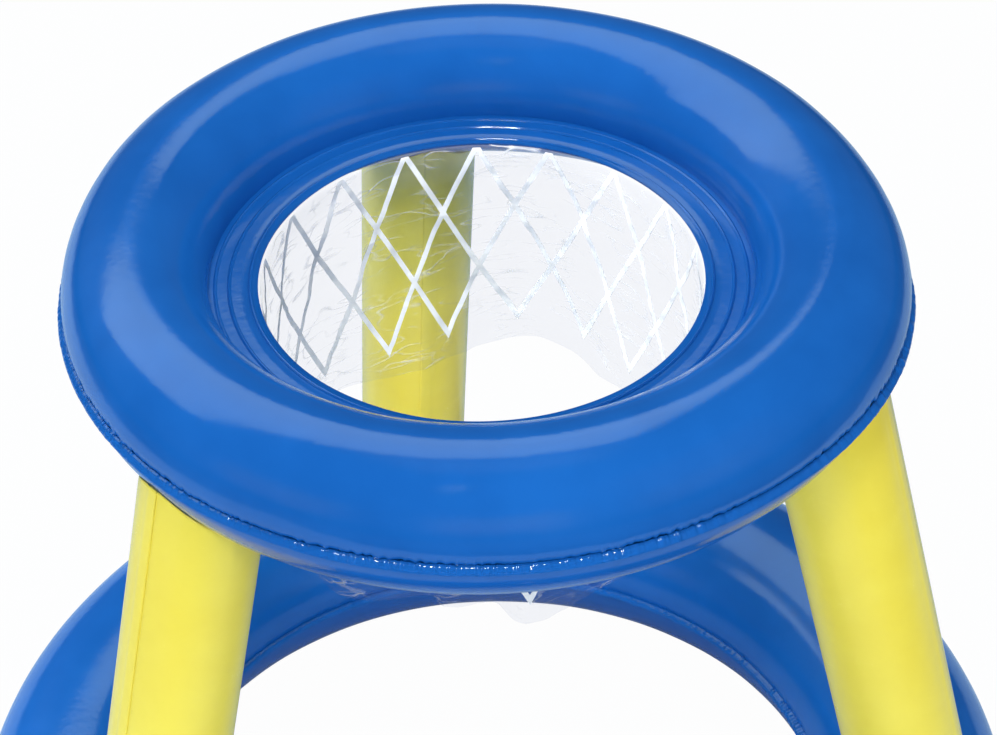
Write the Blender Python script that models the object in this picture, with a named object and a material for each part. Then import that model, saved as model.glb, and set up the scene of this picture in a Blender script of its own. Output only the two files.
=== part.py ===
"""Floating pool basketball hoop: an inflated rim ring with a hanging clear net skirt, three inflated
legs and an inflated base ring. Every air chamber is made of thin vinyl sheets, and each has a safety
valve that pushes in flush. Metres, +Z up, origin on the floor under the middle of the base ring, the
first leg at +Y.
"""

import math
from typing import NamedTuple

import bmesh
import bpy
from mathutils import Matrix, Vector

# Sheet and fits
SHEET = 0.0004  # vinyl sheet of the rings and legs
NET_FILM = 0.0004  # clear film of the net skirt
FIT = 0.0003  # left between pieces that are welded or touch
OVERRUN = 0.004  # cutters run this far past what they cut

# Rim ring
RIM_OUTER_RADIUS = 0.2153
RIM_HALF_WIDTH = 0.0379
RIM_HALF_HEIGHT = 0.0425
RIM_HEIGHT = 0.4541  # middle of the rim's tube above the floor
RIM_OUTER_FIN = 0.004  # weld fin round the outside
FLANGE_WIDTH = 0.0246  # flat weld between the tube and the hole
WELD_LINE_HEIGHT = 0.0004
WELD_LINE_WIDTH = 0.0018
WELD_LINE_SHARES = (0.14, 0.43, 0.86)  # places across the inner flange, from tube to hole

# Base ring
BASE_SPREAD = 0.0897  # how far the base ring stands out past the rim
BASE_HALF_WIDTH = 0.0549
BASE_HALF_HEIGHT = 0.0531
BASE_OUTER_FIN = 0.003
BASE_INNER_FIN = 0.003

# Net skirt
SKIRT_LENGTH = 0.140
SKIRT_INSET = 0.0012  # the skirt hangs this far inside the hole's edge
SKIRT_HEM = 0.008  # flat band welded under the flange
FOLD_DEPTH = 0.020  # how far the deepest fold moves the lower edge in
FOLD_SHARES = (0.0, -0.3, -0.4, 0.4, 0.0, -0.7, -0.3, 0.1, -0.1,
               -0.4, -0.1, 0.1, -1.0, -0.85, -0.2, -0.5, 0.0, 0.25)  # round the skirt from +X
FOLD_GROWTH_SHARES = (0.0, 0.3, 0.65, 1.0)  # depth of the folds down the skirt
SKIRT_DROP_SHARES = (0.0, 0.32, 0.66, 1.0)

# Legs
LEG_RADIUS = 0.0318
LEG_HEAD_OUTSET = 0.0074  # leg's axis outside the rim tube's lowest line
LEG_FOOT_OUTSET = 0.0080  # leg's axis outside the base tube's highest line
LEG_DISC = 0.0008  # discs that close the legs' ends
LAP_WIDTH = 0.006  # overlap of a leg's two panels

# Inflation valves, measured from the sheet's outer face along the valve's axis
VALVE_BORE = 0.0030  # radii
STEM_RADIUS = 0.0045
STEM_HEAD_RADIUS = 0.0060
STEM_LIP_RADIUS = 0.0056
STEM_LIP = 0.0010
STEM_HEAD = 0.0012  # thickness
STEM_DEPTH = 0.0160
SLEEVE_WALL = 0.0012
SLEEVE_DEPTH = 0.0070
BOOT_RADIUS = 0.0120
BOOT_FLANGE = 0.0008
PLUG_TOP_RADIUS = 0.0027
PLUG_TIP_RADIUS = 0.0018
PLUG_DEPTH = 0.0040
CAP_RADIUS = 0.0046
CAP = 0.0010
STRAP_WIDTH = 0.0030
STRAP = 0.0008
STRAP_FIT = 0.0005  # strap's root to the stem's head
FLAP_RADIUS = 0.0044
FLAP = 0.0006
LEG_VALVE_RISE = 0.050  # along the leg, from where its axis meets the base ring

# Facets
RING_STEPS = 48
TUBE_STEPS = 9  # odd, so that a facet lies flat along the crest and under the base
LEG_STEPS = 24
VALVE_STEPS = 16
SKIRT_STEPS = 72
SHARP_ANGLE = math.radians(35)

# Places round the object
LEG_AZIMUTHS = (math.radians(90), math.radians(210), math.radians(330))
LEG_VALVE_SIDES = (1, -1, 1)  # which flank of the leg carries its valve
LEG_VALVE_FACET = 9  # counted from the facet after the outermost edge of the leg
RIM_VALVE_AZIMUTH = math.radians(150)
BASE_VALVE_AZIMUTH = math.radians(270)

# Colours: linear red, green and blue, then roughness
BLUE = ((0.012, 0.122, 0.527), 0.25)
YELLOW = ((0.896, 0.807, 0.144), 0.32)
CLEAR_FILM = ((0.85, 0.88, 0.90), 0.12)
MILKY = ((0.80, 0.83, 0.86), 0.35)

FIN_BOTTOM = FIT / 2  # faces of a weld fin above the ring's middle plane
FIN_TOP = FIN_BOTTOM + SHEET

HOLE_RADIUS = RIM_OUTER_RADIUS - 2 * RIM_HALF_WIDTH - FLANGE_WIDTH
BASE_OUTER_RADIUS = RIM_OUTER_RADIUS + BASE_SPREAD


class Ring(NamedTuple):
    """An inflated ring: an oval tube between two sheets that are welded outside and inside."""

    name: str
    centre_radius: float
    half_width: float
    half_height: float
    height: float
    outer_tip: float
    inner_tip: float


def crest_share():
    """Height of the crest's flat facet as a share of the oval's half height."""
    start = math.asin(FIN_TOP / BASE_HALF_HEIGHT)
    return math.cos((math.pi - 2 * start) / TUBE_STEPS / 2)


RIM = Ring(
    "rim",
    RIM_OUTER_RADIUS - RIM_HALF_WIDTH,
    RIM_HALF_WIDTH,
    RIM_HALF_HEIGHT,
    RIM_HEIGHT,
    RIM_OUTER_RADIUS + RIM_OUTER_FIN,
    HOLE_RADIUS,
)
BASE = Ring(
    "base",
    BASE_OUTER_RADIUS - BASE_HALF_WIDTH,
    BASE_HALF_WIDTH,
    BASE_HALF_HEIGHT,
    BASE_HALF_HEIGHT * crest_share(),
    BASE_OUTER_RADIUS + BASE_OUTER_FIN,
    BASE_OUTER_RADIUS - 2 * BASE_HALF_WIDTH - BASE_INNER_FIN,
)


# Scene and objects


def clear_scene():
    for item in list(bpy.data.objects):
        bpy.data.objects.remove(item)


def material(name, look, alpha=1.0):
    colour, roughness = look
    made = bpy.data.materials.new(name)
    made.use_nodes = True
    surface = made.node_tree.nodes["Principled BSDF"]
    surface.inputs["Base Color"].default_value = (*colour, 1.0)
    surface.inputs["Roughness"].default_value = roughness
    surface.inputs["Metallic"].default_value = 0.0
    surface.inputs["Alpha"].default_value = alpha
    return made


def add_object(name, bm, look):
    """An object of the closed mesh bm, faces out, round faces shaded smooth."""
    bmesh.ops.recalc_face_normals(bm, faces=bm.faces)
    mesh = bpy.data.meshes.new(name)
    bm.to_mesh(mesh)
    bm.free()
    mesh.shade_smooth()
    mesh.set_sharp_from_angle(angle=SHARP_ANGLE)
    made = bpy.data.objects.new(name, mesh)
    if look is not None:
        mesh.materials.append(look)
    bpy.context.scene.collection.objects.link(made)
    return made


def add_cutter(name, bm):
    cutter = add_object(name, bm, None)
    cutter.hide_render = True
    cutter.display_type = "WIRE"
    return cutter


def boolean(target, cutter, operation):
    step = target.modifiers.new(operation.title(), "BOOLEAN")
    step.operation = operation
    step.solver = "EXACT"
    step.object = cutter


# Turned and extruded shapes


def turned(outline, steps, start=0.0):
    """Turns a closed outline of (radius, height) points round Z."""
    bm = bmesh.new()
    corners = [
        bm.verts.new((radius * math.cos(start), radius * math.sin(start), height))
        for radius, height in outline
    ]
    edges = [bm.edges.new((a, b)) for a, b in zip(corners, corners[1:] + corners[:1])]
    bmesh.ops.spin(
        bm,
        geom=corners + edges,
        cent=(0, 0, 0),
        axis=(0, 0, 1),
        angle=2 * math.pi,
        steps=steps,
        use_merge=True,
    )
    return bm


def turned_core(outline, steps):
    """Turns an outline whose first and last points lie on the axis, so the shape is solid."""
    bm = bmesh.new()
    turns = [2 * math.pi * step / steps for step in range(steps)]
    rings = [
        [bm.verts.new((radius * math.cos(t), radius * math.sin(t), height)) for t in turns]
        for radius, height in outline
    ]
    for lower, upper in zip(rings, rings[1:]):
        for side in range(steps):
            after = (side + 1) % steps
            bm.faces.new((lower[side], lower[after], upper[after], upper[side]))
    bm.faces.new(rings[0])
    bm.faces.new(rings[-1])
    return bm


def prism(outline, low, high):
    """Extrudes a closed outline of (x, y) points along Z."""
    bm = bmesh.new()
    floor = bm.faces.new([bm.verts.new((x, y, low)) for x, y in outline])
    raised = bmesh.ops.extrude_face_region(bm, geom=[floor])["geom"]
    tops = [item for item in raised if isinstance(item, bmesh.types.BMVert)]
    bmesh.ops.translate(bm, verts=tops, vec=(0, 0, high - low))
    return bm


# Rings


def tube_arc(ring, grow):
    """Upper half of the tube's section, grown all round, from the outside over the crest inwards."""
    start = math.asin(FIN_TOP / ring.half_height)
    step = (math.pi - 2 * start) / TUBE_STEPS
    return [
        (
            ring.centre_radius + (ring.half_width + grow) * math.cos(start + index * step),
            (ring.half_height + grow) * math.sin(start + index * step),
        )
        for index in range(TUBE_STEPS + 1)
    ]


def weld_lines(ring):
    """Ridges that the welding bars leave on the rim's wide inner flange."""
    flange_start = ring.centre_radius - ring.half_width
    points = []
    for share in WELD_LINE_SHARES:
        middle = flange_start - share * (flange_start - ring.inner_tip)
        points.append((middle + WELD_LINE_WIDTH / 2, FIN_TOP))
        points.append((middle, FIN_TOP + WELD_LINE_HEIGHT))
        points.append((middle - WELD_LINE_WIDTH / 2, FIN_TOP))
    return points


def sheet_outline(ring, side, lines):
    """Section of the upper (side 1) or lower (side -1) sheet of a ring."""
    outside = tube_arc(ring, 0)
    inside = tube_arc(ring, -SHEET)
    points = [(ring.outer_tip, FIN_TOP), *outside, *lines, (ring.inner_tip, FIN_TOP)]
    points += [(ring.inner_tip, FIN_BOTTOM), (inside[-1][0], FIN_BOTTOM), *reversed(inside)]
    points += [(inside[0][0], FIN_BOTTOM), (ring.outer_tip, FIN_BOTTOM)]
    return [(radius, ring.height + side * height) for radius, height in points]


def ring_sheet(ring, side, lines, look):
    word = "upper" if side > 0 else "lower"
    half_facet = math.pi / RING_STEPS
    return add_object(
        f"{ring.name}_{word}_sheet",
        turned(sheet_outline(ring, side, lines), RING_STEPS, half_facet),
        look,
    )


def ring_cutter(ring, side, grow):
    """All that lies within grow of the ring's sheet on one side and behind it."""
    arc = tube_arc(ring, grow)
    fin_face = FIN_TOP + grow
    far_out = ring.outer_tip + LEG_RADIUS
    far_in = ring.inner_tip - LEG_RADIUS
    points = [(far_out, fin_face), (arc[0][0], fin_face), *arc[1:-1]]
    points += [(arc[-1][0], fin_face), (far_in, fin_face)]
    points += [(far_in, -ring.half_height), (far_out, -ring.half_height)]
    outline = [(radius, ring.height + side * height) for radius, height in points]
    name = f"{ring.name}_cutter_{round(grow / FIT)}"
    return add_cutter(name, turned(outline, RING_STEPS, math.pi / RING_STEPS))


def ring_core(ring, grow):
    """The ring's tube as one solid, grown all round."""
    arc = tube_arc(ring, grow)
    outline = arc + [(radius, -height) for radius, height in reversed(arc)]
    placed = [(radius, ring.height + height) for radius, height in outline]
    return turned(placed, RING_STEPS, math.pi / RING_STEPS)


# Net skirt


def fold_share(turn):
    """Smooth closed curve through the fold shares, spaced evenly round the skirt."""
    count = len(FOLD_SHARES)
    place = turn / (2 * math.pi) * count
    index = math.floor(place)
    part = place - index
    before, here, after, beyond = (FOLD_SHARES[(index + k) % count] for k in (-1, 0, 1, 2))
    lean_in = (after - before) / 2
    lean_out = (beyond - here) / 2
    return (
        here * (2 * part**3 - 3 * part**2 + 1)
        + after * (3 * part**2 - 2 * part**3)
        + lean_in * (part**3 - 2 * part**2 + part)
        + lean_out * (part**3 - part**2)
    )


def skirt_outline(turn):
    """Section of the skirt at one place round it: hem band, then the wall and back up."""
    hem_top = RIM_HEIGHT - FIN_TOP - FIT
    wall_radius = HOLE_RADIUS - SKIRT_INSET
    fold = FOLD_DEPTH * fold_share(turn)
    wall = [
        (wall_radius + fold * growth, hem_top - SKIRT_LENGTH * drop)
        for growth, drop in zip(FOLD_GROWTH_SHARES, SKIRT_DROP_SHARES)
    ]
    back = [(radius + NET_FILM, height) for radius, height in reversed(wall[1:])]
    hem_edge = wall_radius + SKIRT_HEM
    hem_bottom = hem_top - NET_FILM
    hem = [(wall_radius + NET_FILM, hem_bottom), (hem_edge, hem_bottom), (hem_edge, hem_top)]
    return wall + back + hem


def net_skirt(look):
    bm = bmesh.new()
    rings = []
    for step in range(SKIRT_STEPS):
        turn = 2 * math.pi * step / SKIRT_STEPS
        rings.append(
            [
                bm.verts.new((radius * math.cos(turn), radius * math.sin(turn), height))
                for radius, height in skirt_outline(turn)
            ]
        )
    front = len(FOLD_GROWTH_SHARES) - 1
    for here, after in zip(rings, rings[1:] + rings[:1]):
        for index in range(len(here)):
            follow = (index + 1) % len(here)
            # Both faces of the film are split the same way, so that it keeps its thickness.
            if index < front:
                bm.faces.new((here[index], here[follow], after[follow]))
                bm.faces.new((here[index], after[follow], after[index]))
            else:
                bm.faces.new((here[index], here[follow], after[index]))
                bm.faces.new((here[follow], after[follow], after[index]))
    return add_object("net_skirt", bm, look)


# Legs


class Leg(NamedTuple):
    """A leg's frame: Z up along its axis from the base ring's crest, X outwards."""

    name: str
    frame: Matrix
    length: float
    valve_side: int


def leg_frame(azimuth):
    outwards = Vector((math.cos(azimuth), math.sin(azimuth), 0))
    foot = outwards * (BASE.centre_radius + LEG_FOOT_OUTSET)
    foot.z = BASE.height + BASE.half_height
    head = outwards * (RIM.centre_radius + LEG_HEAD_OUTSET)
    head.z = RIM.height - RIM.half_height
    up = (head - foot).normalized()
    across = up.cross(outwards).normalized()
    out = across.cross(up)
    frame = Matrix((out, across, up)).transposed().to_4x4()
    frame.translation = foot
    return frame, (head - foot).length


def leg_turns(first, last):
    """The leg's facet edges from one turn to another, both ends included."""
    facet = 2 * math.pi / LEG_STEPS
    low = math.floor(first / facet) + 1
    high = math.ceil(last / facet)
    return [first] + [index * facet for index in range(low, high)] + [last]


def leg_arc(radius, first, last):
    """Points at radius on the leg's facets: its edges lie on multiples of one facet."""
    facet = 2 * math.pi / LEG_STEPS
    points = []
    for turn in leg_turns(first, last):
        off_middle = (turn % facet) - facet / 2
        reach = radius * math.cos(facet / 2) / math.cos(off_middle)
        points.append((reach * math.cos(turn), reach * math.sin(turn)))
    return points


def under_panel_outline():
    """Half of the tube, with edges that reach half a lap past the middle."""
    half_lap = LAP_WIDTH / 2 / LEG_RADIUS
    outside = leg_arc(LEG_RADIUS, -half_lap, math.pi + half_lap)
    inside = leg_arc(LEG_RADIUS - SHEET, -half_lap, math.pi + half_lap)
    return outside + inside[::-1]


def over_panel_outline():
    """The other half, whose edges step out and lie over the first panel's edges."""
    half_lap = LAP_WIDTH / 2 / LEG_RADIUS
    step = half_lap + (SHEET + 2 * FIT) / LEG_RADIUS
    raised = LEG_RADIUS + FIT
    first, last = math.pi, 2 * math.pi
    outside = leg_arc(raised + SHEET, first - half_lap, first + step)
    outside += leg_arc(LEG_RADIUS, first + step, last - step)
    outside += leg_arc(raised + SHEET, last - step, last + half_lap)
    inner_step = half_lap + FIT / LEG_RADIUS
    inside = leg_arc(raised, first - half_lap, first + inner_step)
    inside += leg_arc(LEG_RADIUS - SHEET, first + inner_step, last - inner_step)
    inside += leg_arc(raised, last - inner_step, last + half_lap)
    return outside + inside[::-1]


def leg_reach(leg):
    """Ends of a bar along the leg that reach the middles of both rings."""
    return -BASE.half_height, leg.length + RIM.half_height


def leg_core(radius, low, high):
    facet = 2 * math.pi / LEG_STEPS
    outline = [(radius * math.cos(k * facet), radius * math.sin(k * facet)) for k in range(LEG_STEPS)]
    return prism(outline, low, high)


def build_leg(leg, cutters, yellow):
    low, high = leg_reach(leg)
    panels = []
    for word, outline in (("under", under_panel_outline()), ("over", over_panel_outline())):
        panel = add_object(f"{leg.name}_{word}_panel", prism(outline, low, high), yellow)
        panel.matrix_world = leg.frame
        boolean(panel, cutters["rim_far"], "DIFFERENCE")
        boolean(panel, cutters["base_far"], "DIFFERENCE")
        panels.append(panel)
    spans = {"head": ("rim", leg.length / 2, high), "foot": ("base", low, leg.length / 2)}
    for end, (ring, start, stop) in spans.items():
        disc = add_object(f"{leg.name}_{end}_disc", leg_core(LEG_RADIUS, start, stop), yellow)
        disc.matrix_world = leg.frame
        boolean(disc, cutters[f"{ring}_disc"], "INTERSECT")
        boolean(disc, cutters[f"{ring}_near"], "DIFFERENCE")
    return panels


# Valves


def stem_outline():
    """Section of the stem: head on the sheet, tube, and the lip that keeps it in the sleeve."""
    head_top = FIT + STEM_HEAD
    return [
        (VALVE_BORE, head_top),
        (STEM_HEAD_RADIUS, head_top),
        (STEM_HEAD_RADIUS, FIT),
        (STEM_RADIUS, FIT),
        (STEM_RADIUS, -STEM_DEPTH + STEM_LIP),
        (STEM_LIP_RADIUS, -STEM_DEPTH + STEM_LIP),
        (STEM_LIP_RADIUS, -STEM_DEPTH),
        (VALVE_BORE, -STEM_DEPTH),
    ]


def plug_outline():
    """Tapered plug with its cap."""
    seat = FIT + STEM_HEAD
    cap_bottom = seat + FIT
    return [
        (PLUG_TIP_RADIUS, seat - PLUG_DEPTH),
        (PLUG_TOP_RADIUS, seat),
        (PLUG_TOP_RADIUS, cap_bottom),
        (CAP_RADIUS, cap_bottom),
        (CAP_RADIUS, cap_bottom + CAP),
    ]


def strap_hinge():
    """Axis of the strap's root beside the stem's head: distance from the valve's axis and height."""
    return STEM_HEAD_RADIUS + STRAP_FIT + STRAP / 2, FIT + STEM_HEAD


def strap_outline():
    """Side view of the strap in x and height: down beside the head, then over to the cap."""
    root, root_height = strap_hinge()
    low = root_height - STRAP / 2
    bottom = root_height + FIT
    top = bottom + STRAP
    start = CAP_RADIUS / 2
    inner = root - STRAP / 2
    outer = root + STRAP / 2
    return [(start, bottom), (inner, bottom), (inner, low), (outer, low), (outer, top), (start, top)]


def valve_bar(frame, name, radius, low, high):
    """A round cutter along a valve's axis."""
    bar = add_cutter(name, turned_core([(radius, low), (radius, high)], VALVE_STEPS))
    bar.matrix_world = frame
    return bar


def shell_cutters(name, frame, make_core):
    """Two solids with the boot's flange between them, just inside the sheet."""
    near = add_cutter(f"{name}_near_cutter", make_core(-SHEET - FIT))
    far = add_cutter(f"{name}_far_cutter", make_core(-SHEET - FIT - BOOT_FLANGE))
    near.matrix_world = frame
    far.matrix_world = frame
    return near, far


def build_valve(name, frame, sheet, cores, milky):
    """A valve in the hole that it cuts in its sheet. The frame's Z points out, X to the strap."""
    inner = STEM_RADIUS + FIT
    hole = valve_bar(frame, f"{name}_hole_cutter", inner, -STEM_DEPTH, STEM_DEPTH)
    boolean(sheet, hole, "DIFFERENCE")

    boot = add_object(
        f"{name}_boot",
        turned_core([(BOOT_RADIUS, -SLEEVE_DEPTH), (BOOT_RADIUS, OVERRUN)], VALVE_STEPS),
        milky,
    )
    boot.matrix_world = frame
    near, far = cores
    sleeve = valve_bar(
        frame, f"{name}_sleeve_cutter", inner + SLEEVE_WALL, -SLEEVE_DEPTH - OVERRUN, OVERRUN
    )
    boolean(far, sleeve, "DIFFERENCE")
    boolean(boot, near, "INTERSECT")
    boolean(boot, far, "DIFFERENCE")
    boolean(boot, hole, "DIFFERENCE")

    stem = add_object(f"{name}_stem", turned(stem_outline(), VALVE_STEPS), milky)
    stem.matrix_world = frame

    root, root_height = strap_hinge()
    plug_frame = frame @ Matrix.Translation((root, 0, root_height))
    plug_bm = turned_core(plug_outline(), VALVE_STEPS)
    bmesh.ops.translate(plug_bm, verts=plug_bm.verts, vec=(-root, 0, -root_height))
    plug = add_object(f"{name}_plug", plug_bm, milky)
    plug.matrix_world = plug_frame
    strap_bm = prism(strap_outline(), -STRAP_WIDTH / 2, STRAP_WIDTH / 2)
    stand = Matrix.Translation((-root, 0, -root_height)) @ Matrix.Rotation(math.pi / 2, 4, "X")
    bmesh.ops.transform(strap_bm, matrix=stand, verts=strap_bm.verts)
    strap = add_cutter(f"{name}_strap_cutter", strap_bm)
    strap.matrix_world = plug_frame
    boolean(plug, strap, "UNION")

    flap_top = -STEM_DEPTH - FIT
    flap_frame = frame @ Matrix.Translation((FLAP_RADIUS, 0, flap_top))
    flap_bm = turned_core([(FLAP_RADIUS, -FLAP), (FLAP_RADIUS, 0)], VALVE_STEPS)
    bmesh.ops.translate(flap_bm, verts=flap_bm.verts, vec=(-FLAP_RADIUS, 0, 0))
    flap = add_object(f"{name}_flap", flap_bm, milky)
    flap.matrix_world = flap_frame

    report_joints(name, frame, plug_frame, flap_frame)


def report_joints(name, frame, plug_frame, flap_frame):
    """Prints a valve's joint axes in world coordinates."""
    travel = STEM_DEPTH - STEM_LIP - SLEEVE_DEPTH - FIT
    out = frame.to_3x3().col[2]
    across = frame.to_3x3().col[1]
    print(name, "stem slides along", [round(x, 6) for x in out], "by", round(travel, 5))
    print(name, "plug turns at", [round(x, 6) for x in plug_frame.translation],
          "about", [round(x, 6) for x in across])
    print(name, "flap turns at", [round(x, 6) for x in flap_frame.translation],
          "about", [round(-x, 6) for x in across])


def ring_valve_frame(ring, azimuth, side):
    """On the flat facet of the tube's crest, side 1 on top and -1 underneath, strap along the ring."""
    facet_cosine = math.cos(math.pi / RING_STEPS)
    crest = tube_arc(ring, 0)[TUBE_STEPS // 2][1]
    outwards = Vector((math.cos(azimuth), math.sin(azimuth), 0))
    place = outwards * ring.centre_radius * facet_cosine
    place.z = ring.height + side * crest
    normal = Vector((0, 0, side))
    along = outwards.cross(normal)
    frame = Matrix((along, normal.cross(along), normal)).transposed().to_4x4()
    frame.translation = place
    return frame


def leg_valve_frame(leg):
    """On the middle of a facet of the leg's flank, strap up along the leg."""
    facet = 2 * math.pi / LEG_STEPS
    turn = leg.valve_side * (LEG_VALVE_FACET + 1 / 2) * facet
    flat = LEG_RADIUS * math.cos(facet / 2)
    normal = Vector((math.cos(turn), math.sin(turn), 0))
    along = Vector((0, 0, 1))
    local = Matrix((along, normal.cross(along), normal)).transposed().to_4x4()
    local.translation = normal * flat + along * LEG_VALVE_RISE
    return leg.frame @ local


def build_ring_valve(ring, azimuth, side, sheet, milky):
    name = f"{ring.name}_valve"
    frame = ring_valve_frame(ring, azimuth, side)
    cores = shell_cutters(name, Matrix.Identity(4), lambda grow: ring_core(ring, grow))
    build_valve(name, frame, sheet, cores, milky)


def build_leg_valve(leg, panels, milky):
    name = f"{leg.name}_valve"
    span = STEM_DEPTH + BOOT_RADIUS
    low, high = LEG_VALVE_RISE - span, LEG_VALVE_RISE + span
    cores = shell_cutters(name, leg.frame, lambda grow: leg_core(LEG_RADIUS + grow, low, high))
    sheet = panels[0] if leg.valve_side > 0 else panels[1]
    build_valve(name, leg_valve_frame(leg), sheet, cores, milky)


def build():
    clear_scene()
    blue = material("blue_vinyl", BLUE)
    yellow = material("yellow_vinyl", YELLOW)
    film = material("clear_film", CLEAR_FILM, alpha=0.3)
    milky = material("valve_vinyl", MILKY)

    ring_sheet(RIM, 1, weld_lines(RIM), blue)
    rim_lower = ring_sheet(RIM, -1, [], blue)
    net_skirt(film)
    base_upper = ring_sheet(BASE, 1, [], blue)
    ring_sheet(BASE, -1, [], blue)

    cutters = {}
    for ring, side in ((RIM, -1), (BASE, 1)):
        cutters[f"{ring.name}_near"] = ring_cutter(ring, side, FIT)
        cutters[f"{ring.name}_disc"] = ring_cutter(ring, side, FIT + LEG_DISC)
        cutters[f"{ring.name}_far"] = ring_cutter(ring, side, 2 * FIT + LEG_DISC)

    for number, (azimuth, side) in enumerate(zip(LEG_AZIMUTHS, LEG_VALVE_SIDES), start=1):
        frame, length = leg_frame(azimuth)
        leg = Leg(f"leg_{number}", frame, length, side)
        panels = build_leg(leg, cutters, yellow)
        build_leg_valve(leg, panels, milky)

    build_ring_valve(RIM, RIM_VALVE_AZIMUTH, -1, rim_lower, milky)
    build_ring_valve(BASE, BASE_VALVE_AZIMUTH, 1, base_upper, milky)


build()
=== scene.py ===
"""Floating pool basketball hoop: blue inflated rim and base rings, three yellow inflated legs, a clear
film skirt with a printed net, and push-in valves."""

import math
from typing import NamedTuple

import bmesh
import bpy
from mathutils import Matrix, Vector, noise


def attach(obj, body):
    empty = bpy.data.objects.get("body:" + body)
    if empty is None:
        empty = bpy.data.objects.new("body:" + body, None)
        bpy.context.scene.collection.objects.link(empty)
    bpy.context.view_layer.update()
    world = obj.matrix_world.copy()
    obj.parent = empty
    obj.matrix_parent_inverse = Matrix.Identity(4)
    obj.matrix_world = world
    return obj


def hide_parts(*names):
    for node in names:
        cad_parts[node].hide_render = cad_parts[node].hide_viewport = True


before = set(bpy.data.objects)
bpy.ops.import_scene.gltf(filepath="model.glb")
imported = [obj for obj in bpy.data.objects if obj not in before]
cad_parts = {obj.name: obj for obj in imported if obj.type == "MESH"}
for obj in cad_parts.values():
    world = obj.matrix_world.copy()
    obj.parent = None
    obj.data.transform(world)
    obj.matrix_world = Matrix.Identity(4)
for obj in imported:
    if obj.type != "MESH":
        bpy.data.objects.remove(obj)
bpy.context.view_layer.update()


# Studio. The hoop stands on a pale floor in a dim room. Three softboxes, one inside the other, hang
# behind it and show in the vinyl as one band with a soft edge. The lamps that light it from the same
# place, from the front, from above and from low down are kept out of the reflections.


class Term:
    """A number that varies over a surface. Sums and products of it add the Math nodes."""

    def __init__(self, finish, socket):
        self.finish = finish
        self.socket = socket

    def maths(self, operation, *values):
        return self.finish.node("ShaderNodeMath", {"operation": operation}, dict(enumerate(values)))

    def __add__(self, other):
        return self.maths("ADD", self, other)

    def __sub__(self, other):
        return self.maths("SUBTRACT", self, other)

    def __rsub__(self, other):
        return self.maths("SUBTRACT", other, self)

    def __mul__(self, other):
        return self.maths("MULTIPLY", self, other)

    def __gt__(self, other):
        return self.maths("GREATER_THAN", self, other)

    def __lt__(self, other):
        return self.maths("LESS_THAN", self, other)

    def __abs__(self):
        return self.maths("ABSOLUTE", self)

    __radd__ = __add__
    __rmul__ = __mul__


class Finish:
    """The nodes of one material, or of the studio's surroundings."""

    def __init__(self, holder):
        holder.use_nodes = True
        self.holder = holder
        self.tree = holder.node_tree
        self.tree.nodes.clear()

    def node(self, kind, settings=None, sockets=None, out=0):
        made = self.tree.nodes.new(kind)
        for name, value in (settings or {}).items():
            setattr(made, name, value)
        for name, value in (sockets or {}).items():
            if isinstance(value, Term):
                self.tree.links.new(value.socket, made.inputs[name])
            else:
                made.inputs[name].default_value = value
        return Term(self, made.outputs[out] if made.outputs else None)

    def place(self, out="Object"):
        return self.node("ShaderNodeTexCoord", out=out)

    def part(self, place, out):
        """One of a place's three coordinates, by number."""
        return self.node("ShaderNodeSeparateXYZ", None, {0: place}, out)

    def clouds(self, place, scale, detail=2.0):
        """Soft noise from 0 to 1 whose patches are one metre over scale across."""
        return self.node("ShaderNodeTexNoise", None, {"Vector": place, "Scale": scale, "Detail": detail})

    def blend(self, share, first, second):
        """One colour that turns into another."""
        return self.node("ShaderNodeMix", {"data_type": "RGBA"}, {0: share, 6: first, 7: second}, 2)

    def ramp(self, value, low, high):
        """Smooth step from 0 at low to 1 at high."""
        return self.node(
            "ShaderNodeMapRange",
            {"interpolation_type": "SMOOTHSTEP"},
            {"Value": value, "From Min": low, "From Max": high},
        )

    def bump(self, height, depth):
        """Surface relief: height from 0 to 1 stands for depth in metres."""
        return self.node("ShaderNodeBump", None, {"Height": height, "Distance": depth})

    def show(self, shader):
        kind = "World" if isinstance(self.holder, bpy.types.World) else "Material"
        self.node(f"ShaderNodeOutput{kind}", None, {"Surface": shader})
        return self.holder


ROOM_GLOW = 0.07
FLOOR_SIZE = 12.0
FLOOR_DROP = 0.0006
FLOOR_PAINT = (0.36, 0.56, 0.78, 1.0)
FLOOR_WHITE = 0.98  # share of pure white that the camera sees, which leaves a faint shadow
FLOOR_MIRRORED = 0.07  # share of white that the vinyl shows
TABLE_HALF_WIDTH = 1.22  # the floor is pale up to these lines, whose edges show in the vinyl
TABLE_FRONT = -0.8
TABLE_SLANT = 0.75
TABLE_SLANT_START = 0.1
TABLE_EDGE = 0.02  # half of the width over which it turns dark


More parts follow.
